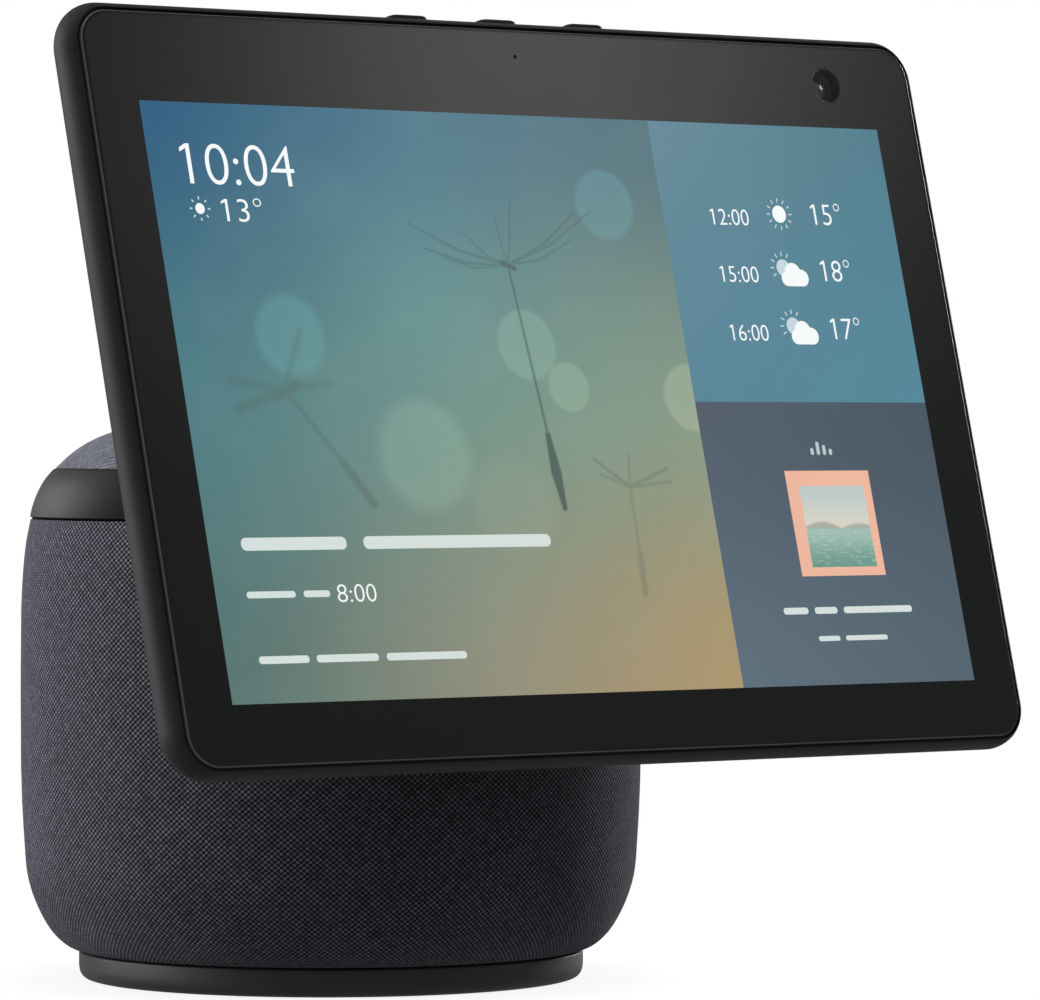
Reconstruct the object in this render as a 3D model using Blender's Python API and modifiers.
"""Motorised smart display: a 10 inch touch panel carried on the front of a
round, fabric-covered speaker body that turns on a fixed foot.

Origin: on the turning axis, at table level.  +Z is up, the panel faces -Y,
and left is -X.  All figures are millimetres; the helpers turn them into metres.
"""

import math

import bmesh
import bpy

MM = 0.001
GAP = 0.3  # running gap between neighbouring pieces
BIG, MID, SMALL, TINY = 36, 24, 16, 8  # facets round a turned piece
HOLE_SIDES = 12  # facets round a screw hole
CORNER_SEGMENTS = 4  # facets in a rounded rectangle's corner

# Turns in degrees
FACING_FRONT = (90, 0, 0)  # local X and Y become X and Z; local +Z points to -Y
FACING_SIDE = (90, 0, 90)  # local X and Y become Y and Z; local +Z points to +X
ALONG_X = (0, 90, 0)  # local +Z points to +X

# ---------------------------------------------------------------- dimensions
# Foot
FOOT_RADIUS = 60.1
FOOT_TOP = 6.6
FOOT_FLOOR = 4.6  # underside of the foot's deck
FOOT_WALL_INNER = 55.2
FOOT_BORE = 9.0
FOOT_SEAT = 6.95  # underside of the pieces that stand on the foot
SCREW_RING = 36.0
JACK_Z = 3.4

# Round body: the heights where the covering changes
BODY_RADIUS = 73.9
COVERING_GAP = 0.7
SLEEVE_TOP = 110.2
BAND_BOTTOM = SLEEVE_TOP + COVERING_GAP
BAND_TOP = 121.6
DOME_BOTTOM = BAND_TOP + COVERING_GAP
DOME_TOP = 136.0
CLOTH = 1.4  # fabric and its backing

# Turning drive: a fixed internal ring gear and the motor's pinion
GEAR_MODULE = 2.0
RING_TEETH = 44
PINION_TEETH = 11
PRESSURE_ANGLE = math.radians(20)
ADDENDUM, DEDENDUM = 0.8 * GEAR_MODULE, 1.05 * GEAR_MODULE
BACKLASH = 0.36
GEAR_LOW, GEAR_HIGH = FOOT_SEAT, 12.9
RING_GEAR_RADIUS = 50.0
PINION_Z, PINION_HEIGHT = 10.3, 4.9
MOTOR_Y = GEAR_MODULE * (RING_TEETH - PINION_TEETH) / 2

# Turret
SPINDLE_CLEAR = 12.0  # bore of the pieces that turn round the spindle
HOUSING_LOW, HOUSING_HIGH = 18.3, 104.2
CHASSIS_LOW, CHASSIS_HIGH = 104.5, 108.3

# Tilt hinge, along X
HINGE_Y = -74.0
HINGE_Z = 116.2
BARREL_RADIUS = 6.0
PIN_RADIUS = 3.0
PIN_HEAD_RADIUS, PIN_HALF_LENGTH = 4.3, 34.2
BORE_REACH = 40  # half the length of the cutters for the pin's bores
ARM_HALF_WIDTH = 22.5
ARM_SCREW_X, ARM_SCREW_Y = 13.0, -32.0
EAR_INNER, EAR_OUTER = 24.6, 32.0
HINGE_SIDE_GAP = 0.4

# Display, in its own frame: x to the right, y into the back, z up in the
# panel's plane, origin at the centre of the lit area on the glass's face
LEAN_DEG = 14.75
PANEL_Y = -91.0
PANEL_Z = 137.2
CASE_HALF_WIDTH = 124.6
CASE_LOW, CASE_HIGH = -83.6, 91.2
CASE_CORNER = 11.0
CASE_DEPTH = 12.0
CASE_WIDEST_AT = 5.0
FRONT_ROUNDING = 5.67
BACK_ROUNDING = 12.0
GLASS_HALF_WIDTH = 121.3
GLASS_LOW, GLASS_HIGH = -81.4, 88.4
GLASS_CORNER = 7.6
GLASS_THICK = 1.1
GLASS_GAP = 0.7
OPENING_FRONT = 0.3  # depth at which the glass's opening meets the rounded front
CAVITY_HALF_WIDTH = 118.0
CAVITY_LOW, CAVITY_HIGH = -77.5, 85.2
CAVITY_CORNER = 5.0
CAVITY_BACK = 10.0
LCD_HALF_WIDTH, LCD_HALF_HEIGHT = 111.0, 70.0
TRAY_MARGIN = 0.5
MIC_HOLE_Z, MIC_HOLE_RADIUS = 81.95, 0.5
CAMERA_X, CAMERA_Z, CAMERA_HALF = 94.9, 78.5, 4.4

# Buttons on the top edge, and the camera's shutter
BUTTON_NAMES = ("volume_down_button", "volume_up_button", "mute_button")
BUTTON_PITCH = 26.0
BUTTON_Y = 5.6
BUTTON_LENGTH, BUTTON_WIDTH = 11.6, 4.4
BUTTON_LOW, BUTTON_TOP = 83.6, 92.2
BUTTON_CLEARANCE = 0.7  # over the whole length and width
SLOT_CUT_Z, SLOT_CUT_HEIGHT = 90.0, 14.0
SHUTTER_X, SHUTTER_Y, SHUTTER_Z = 103.4, 8.2, 83.6
SHUTTER_LENGTH, SHUTTER_TRAVEL = 6.0, 7.0
SHUTTER_CLEARANCE = 0.9
SHUTTER_SLOT_WIDTH = 2.9

# Hinge bracket on the case's back
BRACKET_HALF_WIDTH, BRACKET_HALF_HEIGHT = 36, 12
BRACKET_THICK = 3.0
BRACKET_SCREW_X, BRACKET_SCREW_Z = 18.0, 8.0  # from the bracket's middle

# Drive units
WOOFER_Y, WOOFER_Z, WOOFER_RADIUS = -50.0, 61.0, 41.0
TWEETER_ANGLE, TWEETER_RING, TWEETER_Z = 55.0, 60.0, 86.0

SIDES = (("left", -1), ("right", 1))

# --------------------------------------------------------------------- looks
CASE_PLASTIC = dict(colour=(0.020, 0.020, 0.021), roughness=0.50)
FOOT_PLASTIC = dict(colour=(0.024, 0.024, 0.026), roughness=0.45)
BLACK_PLASTIC = dict(colour=(0.010, 0.010, 0.010), roughness=0.60)
CHARCOAL_FABRIC = dict(colour=(0.030, 0.030, 0.036), roughness=0.95)
GLASS_BLACK = dict(colour=(0.008, 0.008, 0.009), roughness=0.10)
STEEL = dict(colour=(0.55, 0.55, 0.56), roughness=0.35, metallic=1.0)
ZINC = dict(colour=(0.42, 0.43, 0.44), roughness=0.45, metallic=1.0)
ALUMINIUM = dict(colour=(0.70, 0.70, 0.72), roughness=0.40, metallic=1.0)
RUBBER = dict(colour=(0.015, 0.015, 0.015), roughness=0.85)
BOARD = dict(colour=(0.010, 0.085, 0.045), roughness=0.55)
NYLON = dict(colour=(0.75, 0.74, 0.68), roughness=0.50)
PAPER = dict(colour=(0.030, 0.030, 0.030), roughness=0.80)
CUTTER = None  # the look of a hidden boolean helper

# --------------------------------------------------------------------- scene
for old in list(bpy.data.objects):
    bpy.data.objects.remove(old, do_unlink=True)

PARTS = bpy.data.collections.new("smart_display")
CUTTERS = bpy.data.collections.new("cutters")
bpy.context.scene.collection.children.link(PARTS)
bpy.context.scene.collection.children.link(CUTTERS)


def material(name, colour, roughness, metallic=0.0):
    mat = bpy.data.materials.new(name)
    mat.use_nodes = True
    shader = mat.node_tree.nodes["Principled BSDF"]
    shader.inputs["Base Color"].default_value = (*colour, 1.0)
    shader.inputs["Roughness"].default_value = roughness
    shader.inputs["Metallic"].default_value = metallic
    mat.diffuse_color = (*colour, 1.0)
    return mat


def place(obj, parent, at, turn):
    obj.parent = parent
    obj.location = tuple(v * MM for v in at)
    obj.rotation_euler = tuple(math.radians(angle) for angle in turn)
    return obj


def empty(name, parent=None, at=(0, 0, 0), turn=(0, 0, 0)):
    obj = bpy.data.objects.new(name, None)
    obj.empty_display_size = 0.02
    PARTS.objects.link(obj)
    return place(obj, parent, at, turn)


def add(name, mesh, look, parent, at, turn):
    """Link a mesh as a part with a material of its own, or as a cutter."""
    obj = bpy.data.objects.new(name, mesh)
    if look is CUTTER:
        CUTTERS.objects.link(obj)
        obj.hide_render = True
        obj.display_type = "WIRE"
    else:
        PARTS.objects.link(obj)
        mesh.materials.append(material(name, **look))
    if mesh.polygons:
        mesh.shade_smooth()
        mesh.set_sharp_from_angle(angle=math.radians(32))
    return place(obj, parent, at, turn)


def mesh_of(name, shape):
    bmesh.ops.recalc_face_normals(shape, faces=shape.faces)
    mesh = bpy.data.meshes.new(name)
    shape.to_mesh(mesh)
    shape.free()
    return mesh


def box(name, low, high, look, parent=None, at=(0, 0, 0), turn=(0, 0, 0)):
    shape = bmesh.new()
    bmesh.ops.create_cube(shape, size=1.0)
    for vert in shape.verts:
        for i in range(3):
            middle = (high[i] + low[i]) / 2
            vert.co[i] = (vert.co[i] * (high[i] - low[i]) + middle) * MM
    return add(name, mesh_of(name, shape), look, parent, at, turn)


def rod(name, radius, low, high, look, parent=None, at=(0, 0, 0), turn=(0, 0, 0), sides=MID):
    """A cylinder along its own Z, from low to high."""
    shape = bmesh.new()
    bmesh.ops.create_cone(
        shape, cap_ends=True, segments=sides,
        radius1=radius * MM, radius2=radius * MM, depth=(high - low) * MM,
    )
    for vert in shape.verts:
        vert.co.z += (high + low) / 2 * MM
    return add(name, mesh_of(name, shape), look, parent, at, turn)


def turned(name, profile, look, parent=None, at=(0, 0, 0), turn=(0, 0, 0), steps=BIG, closed=True):
    """Profile points (radius, height) turned about Z.

    A closed profile makes a ring; an open one starts and ends on the axis.
    """
    area = sum(
        a[0] * b[1] - b[0] * a[1] for a, b in zip(profile, profile[1:] + profile[:1])
    )
    if area > 0:  # always clockwise, so that every piece's faces point the same way
        profile = profile[::-1]
    mesh = bpy.data.meshes.new(name)
    edges = [(i, i + 1) for i in range(len(profile) - 1)]
    if closed:
        edges.append((len(profile) - 1, 0))
    mesh.from_pydata([(radius * MM, 0.0, z * MM) for radius, z in profile], edges, [])
    obj = add(name, mesh, look, parent, at, turn)
    screw = obj.modifiers.new("turn", "SCREW")
    screw.axis = "Z"
    screw.angle = math.tau
    screw.steps = screw.render_steps = steps
    screw.use_merge_vertices = True
    screw.merge_threshold = 0.00001
    screw.use_smooth_shade = True
    return obj


def plate(name, loops, thickness, look, parent=None, at=(0, 0, 0), turn=(0, 0, 0)):
    """A flat outline, with any holes, made solid by half its thickness each way."""
    curve = bpy.data.curves.new(name, "CURVE")
    curve.dimensions = "2D"
    curve.fill_mode = "BOTH"
    curve.extrude = thickness / 2 * MM
    for loop in loops:
        spline = curve.splines.new("POLY")
        spline.points.add(len(loop) - 1)
        for point, (x, y) in zip(spline.points, loop):
            point.co = (x * MM, y * MM, 0.0, 1.0)
        spline.use_cyclic_u = True
    outline = bpy.data.objects.new(name + "_outline", curve)
    PARTS.objects.link(outline)
    bpy.context.view_layer.update()
    graph = bpy.context.evaluated_depsgraph_get()
    filled = bpy.data.meshes.new_from_object(outline.evaluated_get(graph))
    bpy.data.objects.remove(outline, do_unlink=True)
    bpy.data.curves.remove(curve)
    shape = bmesh.new()
    shape.from_mesh(filled)
    bpy.data.meshes.remove(filled)
    # The caps and the walls come apart; weld them into one solid
    bmesh.ops.remove_doubles(shape, verts=shape.verts, dist=0.000002)
    return add(name, mesh_of(name, shape), look, parent, at, turn)


def loft(name, rings, look, parent):
    """Rings of equal length, each (points in x and z, depth y), bridged and capped."""
    shape = bmesh.new()
    made = [
        [shape.verts.new((x * MM, y * MM, z * MM)) for x, z in points] for points, y in rings
    ]
    for near, far in zip(made, made[1:]):
        for i in range(len(near)):
            j = (i + 1) % len(near)
            shape.faces.new((near[i], near[j], far[j], far[i]))
    shape.faces.new(made[0][::-1])
    shape.faces.new(made[-1])
    return add(name, mesh_of(name, shape), look, parent, (0, 0, 0), (0, 0, 0))


def soften(obj, width):
    bevel = obj.modifiers.new("soften", "BEVEL")
    bevel.width = width * MM
    bevel.segments = 2
    bevel.limit_method = "ANGLE"
    bevel.angle_limit = math.radians(40)


def combine(obj, other, operation="DIFFERENCE"):
    cut = obj.modifiers.new(operation.lower(), "BOOLEAN")
    cut.operation = operation
    cut.solver = "EXACT"
    cut.object = other


# ------------------------------------------------------------------ outlines
def circle(radius, sides, x=0.0, y=0.0):
    angles = [math.tau * i / sides for i in range(sides)]
    return [(x + radius * math.cos(angle), y + radius * math.sin(angle)) for angle in angles]


def arc(x, y, radius, degrees):
    angles = [math.radians(degree) for degree in degrees]
    return [(x + radius * math.cos(angle), y + radius * math.sin(angle)) for angle in angles]


def rounded(half_x, low, high, radius):
    """A rounded rectangle about x = 0 as (x, z) points, anticlockwise."""
    points = []
    for x, z, start in (
        (half_x - radius, high - radius, 0),
        (-half_x + radius, high - radius, 90),
        (-half_x + radius, low + radius, 180),
        (half_x - radius, low + radius, 270),
    ):
        degrees = [start + 90 * i / CORNER_SEGMENTS for i in range(CORNER_SEGMENTS + 1)]
        points += arc(x, z, radius, degrees)
    return points


def pill(length, width, sides):
    """A flat slot shape along x, with a number of facets round each end."""
    radius, centre = width / 2, (length - width) / 2
    angles = [math.pi * i / sides for i in range(sides + 1)]
    right = [(centre + radius * math.sin(angle), -radius * math.cos(angle)) for angle in angles]
    return right + [(-x, -y) for x, y in right]


def inset(profile, distance, floor=0.0):
    """A profile moved inwards along its own normals, kept above a floor."""
    moved = []
    for i, (radius, z) in enumerate(profile):
        before, after = profile[max(i - 1, 0)], profile[min(i + 1, len(profile) - 1)]
        run, rise = after[0] - before[0], after[1] - before[1]
        size = math.hypot(run, rise)
        moved.append((
            max(radius - distance * rise / size, 0.0),
            max(z + distance * run / size, floor),
        ))
    return moved


def gear_circles(teeth):
    """A gear's pitch and base radii."""
    pitch = GEAR_MODULE * teeth / 2
    return pitch, pitch * math.cos(PRESSURE_ANGLE)


def involute(cosine):
    """The involute of an angle given by its cosine; zero inside the base circle."""
    angle = math.acos(min(1.0, cosine))
    return math.tan(angle) - angle


def toothed_outline(teeth, radii, slack):
    """Involute teeth through these radii, each flank moved out by the slack."""
    pitch, base = gear_circles(teeth)
    half_at_pitch = math.pi / (2 * teeth) + involute(base / pitch)
    flank = [
        (radius, half_at_pitch - involute(base / radius) + slack / pitch) for radius in radii
    ]
    points = []
    for tooth in range(teeth):
        middle = math.tau * tooth / teeth
        points += [(radius, middle - half) for radius, half in flank]
        points += [(radius, middle + half) for radius, half in flank[::-1]]
    return [(radius * math.cos(angle), radius * math.sin(angle)) for radius, angle in points]


def pinion_outline():
    pitch, base = gear_circles(PINION_TEETH)
    tip = pitch + ADDENDUM
    radii = (pitch - DEDENDUM, base, (base + tip) / 2, tip)
    return toothed_outline(PINION_TEETH, radii, -BACKLASH / 4)


def ring_outline():
    """The toothed bore: each gap is the shape of an external tooth."""
    pitch, _ = gear_circles(RING_TEETH)
    return toothed_outline(RING_TEETH, (pitch - ADDENDUM, pitch + DEDENDUM), BACKLASH / 4)


# Outer surface of the covering as (radius, height), lower edge to top centre.
# The inner surfaces follow every other point.
SLEEVE_OUTER = [
    (57.0, 6.9), (60.4, 7.0), (63.2, 8.3), (66.6, 11.7), (70.0, 17.7),
    (72.2, 24.5), (73.2, 35.0), (BODY_RADIUS, 62.0), (73.6, 92.0), (72.7, 103.0),
    (71.5, SLEEVE_TOP),
]
SLEEVE_INNER = SLEEVE_OUTER[::2]
DOME_OUTER = [
    (64.6, DOME_BOTTOM), (61.9, 125.2), (57.4, 128.0), (50.0, 130.9),
    (38.0, 133.8), (20.0, 135.7), (0.0, DOME_TOP),
]
DOME_INNER = DOME_OUTER[::2]

# ------------------------------------------------------------------- frames
# The hinge axis as the display's own frame sees it
lean = math.radians(LEAN_DEG)
step_y, step_z = PANEL_Y - HINGE_Y, PANEL_Z - HINGE_Z
AXIS_BEHIND_GLASS = -(math.cos(lean) * step_y - math.sin(lean) * step_z)
AXIS_BELOW_CENTRE = math.sin(lean) * step_y + math.cos(lean) * step_z

HINGE = (0, HINGE_Y, HINGE_Z)
pan_axis = empty("pan_axis")
tilt_axis = empty("tilt_axis", pan_axis, HINGE, (-LEAN_DEG, 0, 0))
panel = empty("panel_origin", tilt_axis, (0, -AXIS_BEHIND_GLASS, AXIS_BELOW_CENTRE))

# --------------------------------------------------------------------- foot
# Profiles of turned pieces are (radius, height) throughout
jack_notch = box("jack_notch", (-5.0, 46.2, 0.2), (5.0, 64.0, 6.1), CUTTER)
pad_notch = box("jack_notch_pad", (-5.6, 45.6, -1.0), (5.6, 64.0, 6.1), CUTTER)

foot_base = turned("foot_base", [
    (FOOT_BORE, FOOT_FLOOR), (FOOT_BORE, FOOT_TOP), (59.5, FOOT_TOP),
    (FOOT_RADIUS, 6.0), (FOOT_RADIUS, 4.2), (59.2, 2.2), (57.7, 0.9), (56.2, 0.5),
    (FOOT_WALL_INNER, 0.5), (FOOT_WALL_INNER, FOOT_FLOOR),
], FOOT_PLASTIC)
ballast = turned("ballast_plate", [
    (FOOT_BORE, 2.7), (FOOT_BORE, 4.3), (54.6, 4.3), (54.6, 2.7),
], STEEL)
cover = turned("bottom_cover", [
    (0, 2.4), (54.8, 2.4), (54.8, 0.8), (53.8, 0.8), (53.8, 1.6), (0, 1.6),
], BLACK_PLASTIC, closed=False)
pad = turned("foot_pad", [
    (0, 1.3), (53.4, 1.3), (53.4, 0.4), (53.0, 0.0), (0, 0.0),
], RUBBER, closed=False)
for piece in (foot_base, ballast, cover):
    combine(piece, jack_notch)
combine(pad, pad_notch)

# Power jack, open to the back
jack = box("power_jack", (-4.6, 46.6, 1.0), (4.6, 59.4, 5.8), BLACK_PLASTIC)
combine(jack, rod("jack_bore", 1.9, 0.0, 14.0, CUTTER, None, (0, 63.0, JACK_Z), FACING_FRONT, SMALL))
combine(jack, rod("jack_centre_pin", 0.55, 0.0, 10.0, CUTTER, None, (0, 58.0, JACK_Z),
                  FACING_FRONT, TINY), "UNION")

# Foot screws, from below
FOOT_SCREW = [
    (0, 0.9), (1.2, 0.9), (1.5, 0.6), (2.9, 0.6), (2.9, 1.3), (1.4, 1.4), (1.4, 5.6), (0, 5.8),
]
for i in range(3):
    angle = math.radians(30 + 120 * i)
    spot = (SCREW_RING * math.cos(angle), SCREW_RING * math.sin(angle), 0.0)
    hole = rod(f"foot_screw_hole_{i + 1}", 1.8, 0.0, 6.3, CUTTER, None, spot, sides=HOLE_SIDES)
    sink = rod(f"foot_screw_sink_{i + 1}", 3.4, -1.0, 1.45, CUTTER, None, spot, sides=HOLE_SIDES)
    for piece in (cover, ballast, foot_base):
        combine(piece, hole)
    combine(pad, sink)
    turned(f"foot_screw_{i + 1}", FOOT_SCREW, ZINC, None, spot, steps=TINY, closed=False)

# Fixed parts of the drive, standing on the foot
plate("ring_gear", [circle(RING_GEAR_RADIUS, BIG), ring_outline()], GEAR_HIGH - GEAR_LOW, NYLON,
      None, (0, 0, (GEAR_HIGH + GEAR_LOW) / 2))
turned("centre_spindle", [
    (6.0, FOOT_SEAT), (6.0, 24.0), (10.9, 24.0), (11.5, 23.4), (11.5, 8.9), (18.0, 8.9),
    (18.0, FOOT_SEAT),
], ALUMINIUM, steps=MID)
turned("retaining_ring", [
    (11.8, 18.6), (11.8, 20.4), (16.0, 20.4), (16.0, 18.6),
], STEEL, steps=MID)

# ------------------------------------------------------------------- turret
turret_base = turned("turret_base", [
    (SPINDLE_CLEAR, 14.5), (SPINDLE_CLEAR, 18.0), (67.0, 18.0), (65.4, 15.2), (63.0, 12.0),
    (60.0, 9.4), (57.2, 9.0), (54.0, 9.0), (54.0, 14.5),
], BLACK_PLASTIC, pan_axis)
combine(turret_base, rod("shaft_hole", 3.2, 10.0, 22.0, CUTTER, pan_axis, (0, MOTOR_Y, 0),
                         sides=SMALL))

turned("thrust_bearing", [
    (SPINDLE_CLEAR, 9.2), (SPINDLE_CLEAR, 14.2), (17.4, 14.2), (17.4, 9.2),
], NYLON, pan_axis, steps=MID)

# Speaker housing: a tube with openings for the drive units and a vent at the back
housing = turned("speaker_housing", [
    (65.5, HOUSING_LOW), (65.5, HOUSING_HIGH), (68.0, HOUSING_HIGH), (68.0, HOUSING_LOW),
], BLACK_PLASTIC, pan_axis)
combine(housing, rod("woofer_opening", 37.0, 0.0, 60.0, CUTTER, pan_axis,
                     (0, -30, WOOFER_Z), FACING_FRONT, 32))
for side, sign in SIDES:
    combine(housing, rod(f"tweeter_opening_{side}", 12.0, 40.0, 80.0, CUTTER, pan_axis,
                         (0, 0, TWEETER_Z), (90, 0, sign * TWEETER_ANGLE), 20))
combine(housing, box("rear_vent", (-26, 50, 60), (26, 80, 96), CUTTER, pan_axis))

turned("fabric_sleeve", SLEEVE_OUTER + inset(SLEEVE_INNER, CLOTH + 0.4)[::-1],
       CHARCOAL_FABRIC, pan_axis)

chassis = turned("top_chassis", [
    (8.0, CHASSIS_LOW), (8.0, CHASSIS_HIGH), (66.0, CHASSIS_HIGH), (66.0, CHASSIS_LOW),
], BLACK_PLASTIC, pan_axis)


def arm_gate(name, top):
    """A cutter that opens the front of a ring for the arm."""
    half_width = ARM_HALF_WIDTH + 0.5
    return box(name, (-half_width, -90, 103), (half_width, -40, top), CUTTER, pan_axis)


# The band's skirt seats round the chassis, and closes the joint behind the sleeve's edge
band = turned("collar_band", [
    (71.3, BAND_BOTTOM), (70.4, 114.6), (68.2, 118.4), (64.9, BAND_TOP), (62.4, BAND_TOP),
    (65.2, 118.0), (66.6, 114.0), (66.6, 104.6), (68.6, 104.6), (68.6, BAND_BOTTOM),
], CASE_PLASTIC, pan_axis)
combine(band, arm_gate("arm_gate", 126))

# The liner stands on the chassis on a skirt inside the band, open in front for the arm
liner_outer = inset(DOME_INNER, CLOTH + 1.5, DOME_BOTTOM)
liner_inner = inset(DOME_INNER, CLOTH + 3.7, DOME_BOTTOM)
liner_skirt = [
    (61.9, DOME_BOTTOM - 0.4), (61.9, 108.6), (60.2, 108.6), (60.2, DOME_BOTTOM - 0.2),
]
liner = turned("dome_liner", liner_outer[::-1] + liner_skirt + liner_inner[1:],
               BLACK_PLASTIC, pan_axis, closed=False)
combine(liner, arm_gate("liner_gate", 121.7))
turned("dome_fabric", DOME_OUTER[::-1] + inset(DOME_INNER, CLOTH, DOME_BOTTOM),
       CHARCOAL_FABRIC, pan_axis, closed=False)

# Arm: mounting flange, neck and barrel as (y, z) points, made solid across X
barrel = arc(HINGE_Y, HINGE_Z, BARREL_RADIUS, range(66, 301, 18))
arm_side = [
    (-22.0, 108.7), (-22.0, 112.0), (-46.0, 112.0), (-53.0, 120.4), (-66.0, 121.3),
] + barrel + [(-68.0, 111.1), (-56.0, 111.1), (-54.0, 108.7)]
arm = plate("display_arm", [arm_side], 2 * ARM_HALF_WIDTH, CASE_PLASTIC, pan_axis,
            turn=FACING_SIDE)
combine(arm, rod("pin_bore", PIN_RADIUS + GAP, -BORE_REACH, BORE_REACH, CUTTER, pan_axis,
                 HINGE, ALONG_X))

ARM_SCREW = [
    (0, 115.0), (1.6, 115.0), (3.3, 113.9), (3.3, 112.3), (1.5, 112.3), (1.5, 104.0), (0, 103.6),
]
for i, x in enumerate((-ARM_SCREW_X, ARM_SCREW_X)):
    spot = (x, ARM_SCREW_Y, 0)
    hole = rod(f"arm_screw_hole_{i + 1}", 1.9, 100.0, 118.0, CUTTER, pan_axis, spot,
               sides=HOLE_SIDES)
    combine(arm, hole)
    combine(chassis, hole)
    turned(f"arm_screw_{i + 1}", ARM_SCREW, ZINC, pan_axis, spot, steps=TINY, closed=False)

# Hinge pin, headed at both ends, and a washer on each side of the arm
under_head = EAR_OUTER + HINGE_SIDE_GAP
turned("hinge_pin", [
    (0, -PIN_HALF_LENGTH), (PIN_HEAD_RADIUS, -PIN_HALF_LENGTH), (PIN_HEAD_RADIUS, -under_head),
    (PIN_RADIUS, -under_head), (PIN_RADIUS, under_head),
    (PIN_HEAD_RADIUS, under_head), (PIN_HEAD_RADIUS, PIN_HALF_LENGTH), (0, PIN_HALF_LENGTH),
], STEEL, pan_axis, HINGE, ALONG_X, SMALL, False)
washer_low, washer_high = ARM_HALF_WIDTH + HINGE_SIDE_GAP, EAR_INNER - HINGE_SIDE_GAP
for side, sign in SIDES:
    turned(f"friction_washer_{side}", [
        (3.4, washer_low), (3.4, washer_high), (5.8, washer_high), (5.8, washer_low),
    ], NYLON, pan_axis, HINGE, (0, 90 * sign, 0), SMALL)


# Loudspeakers; a drive unit's own +Z points out of the body
def woofer_part(name, profile, look, closed=True):
    turned(name, profile, look, pan_axis, (0, WOOFER_Y, WOOFER_Z), FACING_FRONT, MID, closed)


woofer_part("woofer_basket", [
    (WOOFER_RADIUS, 0), (WOOFER_RADIUS, -2.5), (38.0, -2.5), (23.0, -19.0), (14.0, -19.0),
    (14.0, -17.0), (21.8, -17.0), (36.0, -1.0), (36.0, 0),
], BLACK_PLASTIC)
woofer_part("woofer_magnet", [
    (5.0, -19.4), (22.0, -19.4), (22.5, -20.0), (22.5, -31.0), (5.0, -31.0),
], ZINC)
woofer_part("woofer_surround", [
    (39.6, 0.3), (39.6, 1.2), (36.4, 1.4), (34.9, 3.0), (32.4, 3.0), (30.8, 1.2),
    (30.8, 0.4), (33.4, 1.8), (35.4, 0.4),
], RUBBER)
woofer_part("woofer_cone", [
    (0, -6.0), (6.0, -7.0), (10.4, -10.0), (30.1, 0.4), (30.1, -0.6), (12.0, -11.6),
    (12.0, -15.6), (11.2, -15.6), (11.2, -11.4), (5.6, -8.2), (0, -7.2),
], PAPER, closed=False)

TWEETER = [
    (0, 2.2), (5.0, 1.6), (8.6, 0.2), (10.0, 0), (15.0, 0), (15.0, -3.0), (11.0, -3.0),
    (11.0, -14.0), (0, -14.0),
]
for side, sign in SIDES:
    angle = math.radians(TWEETER_ANGLE) * sign
    spot = (TWEETER_RING * math.sin(angle), -TWEETER_RING * math.cos(angle), TWEETER_Z)
    turned(f"tweeter_{side}", TWEETER, BLACK_PLASTIC, pan_axis, spot,
           (90, 0, sign * TWEETER_ANGLE), SMALL, False)

# Main board, with a finned heat sink on its back
box("main_board", (-40, 34.0, 48), (40, 35.6, 101), BOARD, pan_axis)
FINS, FIN_PITCH, FIN_THICK, FIN_TOP, FIN_ROOT = 6, 8.4, 2.0, 11.0, 3.0
SINK_HALF_WIDTH = (FIN_PITCH * (FINS - 1) + FIN_THICK) / 2
comb = [(-SINK_HALF_WIDTH, 0.0), (SINK_HALF_WIDTH, 0.0)]
for i in range(FINS):
    x = SINK_HALF_WIDTH - FIN_PITCH * i
    comb += [(x, FIN_TOP), (x - FIN_THICK, FIN_TOP)]
    if i < FINS - 1:
        comb += [(x - FIN_THICK, FIN_ROOT), (x - FIN_PITCH, FIN_ROOT)]
plate("heat_sink", [comb], 34.0, ALUMINIUM, pan_axis, (0, 36.0, 78.0))

# Motor, and its pinion below the turret base
turned("drive_motor", [
    (0, 18.4), (8.0, 18.4), (8.0, 18.9), (14.0, 18.9), (14.6, 19.6), (14.6, 40.0),
    (13.8, 41.0), (0, 41.0),
], ZINC, pan_axis, (0, MOTOR_Y, 0), steps=MID, closed=False)
pinion_at = (0, MOTOR_Y, PINION_Z)
pinion = plate("motor_pinion", [pinion_outline()], PINION_HEIGHT, NYLON, pan_axis,
               pinion_at, (0, 0, 90.0))
combine(pinion, rod("pinion_shaft", 2.6, 0.0, 7.7, CUTTER, pan_axis, pinion_at, sides=SMALL),
        "UNION")

# ------------------------------------------------------------------ display
# Case: from the cavity's floor out to the front edge, then round to the back
cavity = rounded(CAVITY_HALF_WIDTH, CAVITY_LOW, CAVITY_HIGH, CAVITY_CORNER)
opening = rounded(GLASS_HALF_WIDTH + GLASS_GAP, GLASS_LOW - GLASS_GAP, GLASS_HIGH + GLASS_GAP,
                  GLASS_CORNER + GLASS_GAP)
ledge = GLASS_THICK + GAP
rings = [(cavity, CAVITY_BACK), (cavity, ledge), (opening, ledge), (opening, OPENING_FRONT)]
for degrees in (56, 42, 28, 14, 0):  # from the opening's edge to the widest line
    angle = math.radians(degrees)
    shift = FRONT_ROUNDING * (1 - math.cos(angle))
    outline = rounded(CASE_HALF_WIDTH - shift, CASE_LOW + shift * 0.57,
                      CASE_HIGH - shift * 0.8, CASE_CORNER - shift)
    rings.append((outline, CASE_WIDEST_AT - FRONT_ROUNDING * math.sin(angle)))
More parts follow.
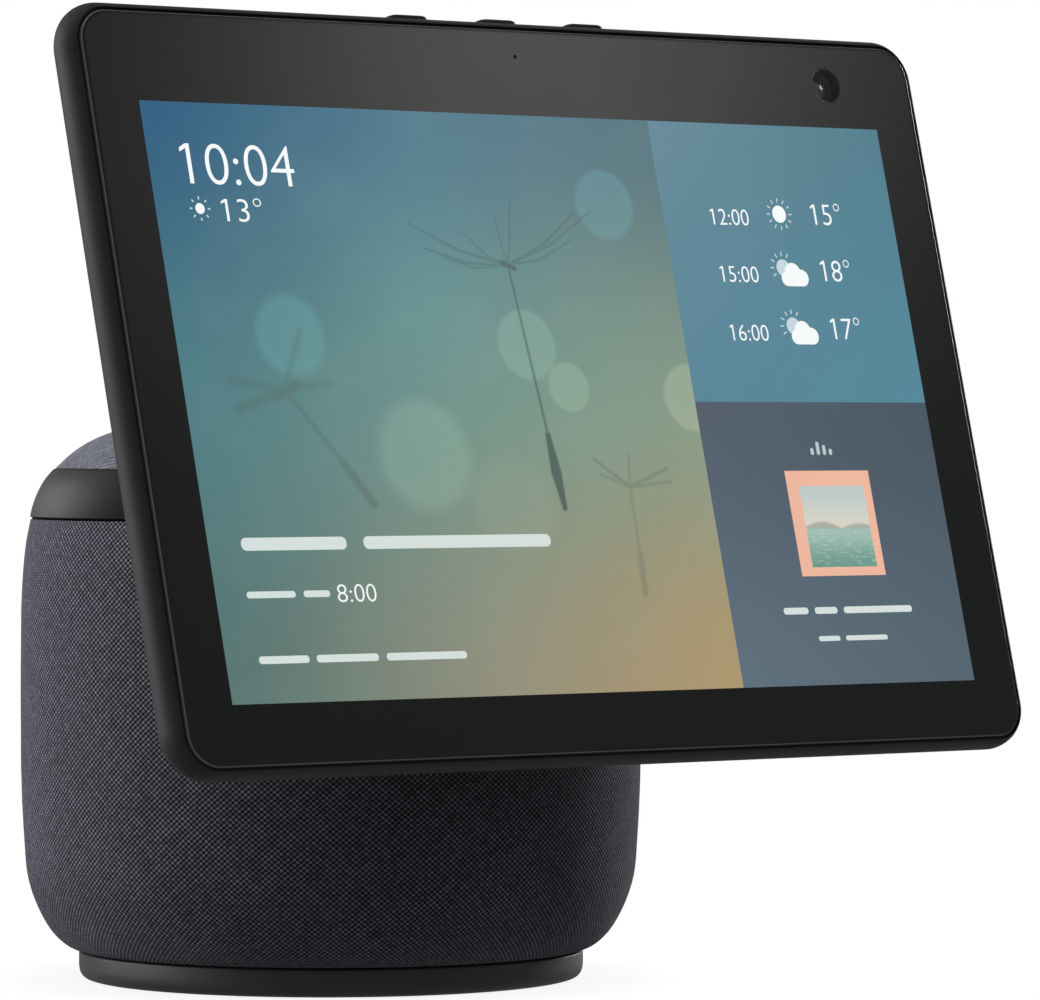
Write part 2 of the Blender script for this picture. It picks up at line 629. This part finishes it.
for degrees in (20, 40, 58, 74, 90):  # from the widest line to the flat back
    angle = math.radians(degrees)
    shift = BACK_ROUNDING * (1 - math.cos(angle))
    outline = rounded(CASE_HALF_WIDTH - shift, CASE_LOW + shift, CASE_HIGH - shift,
                      CASE_CORNER - 0.75 * shift)
    rings.append((outline, CASE_WIDEST_AT + (CASE_DEPTH - CASE_WIDEST_AT) * math.sin(angle)))
case = loft("display_case", rings, CASE_PLASTIC, panel)


def cut_top_slot(name, length, width, sides, x, y):
    combine(case, plate(name, [pill(length, width, sides)], SLOT_CUT_HEIGHT, CUTTER, panel,
                        (x, y, SLOT_CUT_Z)))


button_x = [BUTTON_PITCH * (i - 1) for i in range(3)]
for i, x in enumerate(button_x):
    cut_top_slot(f"button_slot_{i + 1}", BUTTON_LENGTH + BUTTON_CLEARANCE,
                 BUTTON_WIDTH + BUTTON_CLEARANCE, 6, x, BUTTON_Y)
cut_top_slot("shutter_slot", SHUTTER_LENGTH + SHUTTER_TRAVEL + SHUTTER_CLEARANCE,
             SHUTTER_SLOT_WIDTH, 4, SHUTTER_X - SHUTTER_TRAVEL / 2, SHUTTER_Y)
combine(case, box("cable_exit", (-9, 8, -28), (9, 16, -20), CUTTER, panel))

# Glass, screen and boards, front to back
plate("cover_glass", [
    rounded(GLASS_HALF_WIDTH, GLASS_LOW, GLASS_HIGH, GLASS_CORNER),
    circle(MIC_HOLE_RADIUS, 8, 0.0, MIC_HOLE_Z),
], GLASS_THICK, GLASS_BLACK, panel, (0, GLASS_THICK / 2, 0), FACING_FRONT)
box("mic_board", (-12, 1.5, 77.5), (12, 2.4, 83.0), BOARD, panel)
box("lcd_panel", (-LCD_HALF_WIDTH, 1.45, -LCD_HALF_HEIGHT),
    (LCD_HALF_WIDTH, 3.1, LCD_HALF_HEIGHT), GLASS_BLACK, panel)
tray_x, tray_z = LCD_HALF_WIDTH + TRAY_MARGIN, LCD_HALF_HEIGHT + TRAY_MARGIN
box("backlight_tray", (-tray_x, 3.4, -tray_z), (tray_x, 6.0, tray_z), ALUMINIUM, panel)
box("display_board", (-62, 6.4, -6), (62, 7.6, 52), BOARD, panel)
soften(box("board_shield", (-30, 7.9, 4), (30, 9.6, 42), STEEL, panel), 0.5)

# Camera: a square module with a round barrel, bored for the lens
camera = box("camera_module", (CAMERA_X - CAMERA_HALF, 5.0, CAMERA_Z - CAMERA_HALF),
             (CAMERA_X + CAMERA_HALF, 8.8, CAMERA_Z + CAMERA_HALF), BLACK_PLASTIC, panel)
for name, radius, y, operation in (
    ("camera_barrel", 3.8, 6.4, "UNION"),
    ("camera_seat", 2.6, 4.4, "DIFFERENCE"),
):
    combine(camera, rod(name, radius, 0.0, 4.0, CUTTER, panel, (CAMERA_X, y, CAMERA_Z),
                        FACING_FRONT), operation)
turned("camera_lens", [
    (0, 1.5), (1.3, 1.2), (2.2, 0.5), (2.3, 0), (2.3, -0.4), (0, -0.4),
], GLASS_BLACK, panel, (CAMERA_X, 4.0, CAMERA_Z), FACING_FRONT, SMALL, False)

# Buttons, each with a flange inside the case and a switch below it
switches = box("button_board", (-34, 3.0, 80.0), (34, 8.0, 81.2), BOARD, panel)
half = (BUTTON_TOP - BUTTON_LOW) / 2
for i, (name, x) in enumerate(zip(BUTTON_NAMES, button_x)):
    combine(switches, box(f"switch_{i + 1}", (x - 2.5, 3.8, 80.6), (x + 2.5, 7.4, 82.3),
                          CUTTER, panel), "UNION")
    spot = (x, BUTTON_Y, (BUTTON_TOP + BUTTON_LOW) / 2)
    button = plate(name, [pill(BUTTON_LENGTH, BUTTON_WIDTH, 6)], 2 * half, CASE_PLASTIC,
                   panel, spot)
    combine(button, box(f"button_flange_{i + 1}", (-7.0, -3.0, -half - 0.6),
                        (7.0, 3.0, -half + 0.8), CUTTER, panel, spot), "UNION")
    soften(button, 0.5)

# Shutter: a slider, a bridge towards the front, and a blade hanging from it
spot = (SHUTTER_X, SHUTTER_Y, SHUTTER_Z)
shutter = box("shutter_slider", (-SHUTTER_LENGTH / 2, -1.05, -0.3),
              (SHUTTER_LENGTH / 2, 1.05, 6.6), CASE_PLASTIC, panel, spot)
for name, low, high in (
    ("shutter_bridge", (-2.6, -6.7, -0.2), (2.6, 0.8, 0.9)),
    ("shutter_blade", (-5.0, -6.8, -10.6), (5.0, -6.3, 0.6)),
):
    combine(shutter, box(name, low, high, CUTTER, panel, spot), "UNION")

# Hinge bracket: a plate on the case's back with an ear at each side of the arm
axis_z = -AXIS_BELOW_CENTRE
plate_front = CASE_DEPTH + GAP
plate_back = plate_front + BRACKET_THICK
bracket = box("hinge_bracket", (-BRACKET_HALF_WIDTH, plate_front, axis_z - BRACKET_HALF_HEIGHT),
              (BRACKET_HALF_WIDTH, plate_back, axis_z + BRACKET_HALF_HEIGHT), ZINC, panel)
# (y, z) points; the ear's root is sunk 1.5 into the plate
ear = arc(AXIS_BEHIND_GLASS, axis_z, BARREL_RADIUS, range(-72, 73, 24)) + [
    (plate_back - 1.5, axis_z + 9.0), (plate_back - 1.5, axis_z - 9.0),
]
for side, sign in SIDES:
    combine(bracket, plate(f"ear_{side}", [ear], EAR_OUTER - EAR_INNER, CUTTER, panel,
                           (sign * (EAR_INNER + EAR_OUTER) / 2, 0, 0), FACING_SIDE), "UNION")
combine(bracket, rod("ear_bore", PIN_RADIUS + GAP, -BORE_REACH, BORE_REACH, CUTTER, panel,
                     (0, AXIS_BEHIND_GLASS, axis_z), ALONG_X))

BRACKET_SCREW = [
    (0, -16.4), (2.0, -16.4), (2.6, -16.1), (2.6, -15.6), (1.3, -15.6), (1.3, -10.4), (0, -10.2),
]
screw_places = [
    (x, 0, axis_z + z)
    for x in (-BRACKET_SCREW_X, BRACKET_SCREW_X) for z in (-BRACKET_SCREW_Z, BRACKET_SCREW_Z)
]
for number, spot in enumerate(screw_places, 1):
    hole = rod(f"bracket_hole_{number}", 1.6, -18.0, -9.0, CUTTER, panel, spot, FACING_FRONT,
               HOLE_SIDES)
    combine(bracket, hole)
    combine(case, hole)
    turned(f"bracket_screw_{number}", BRACKET_SCREW, ZINC, panel, spot, FACING_FRONT, TINY, False)
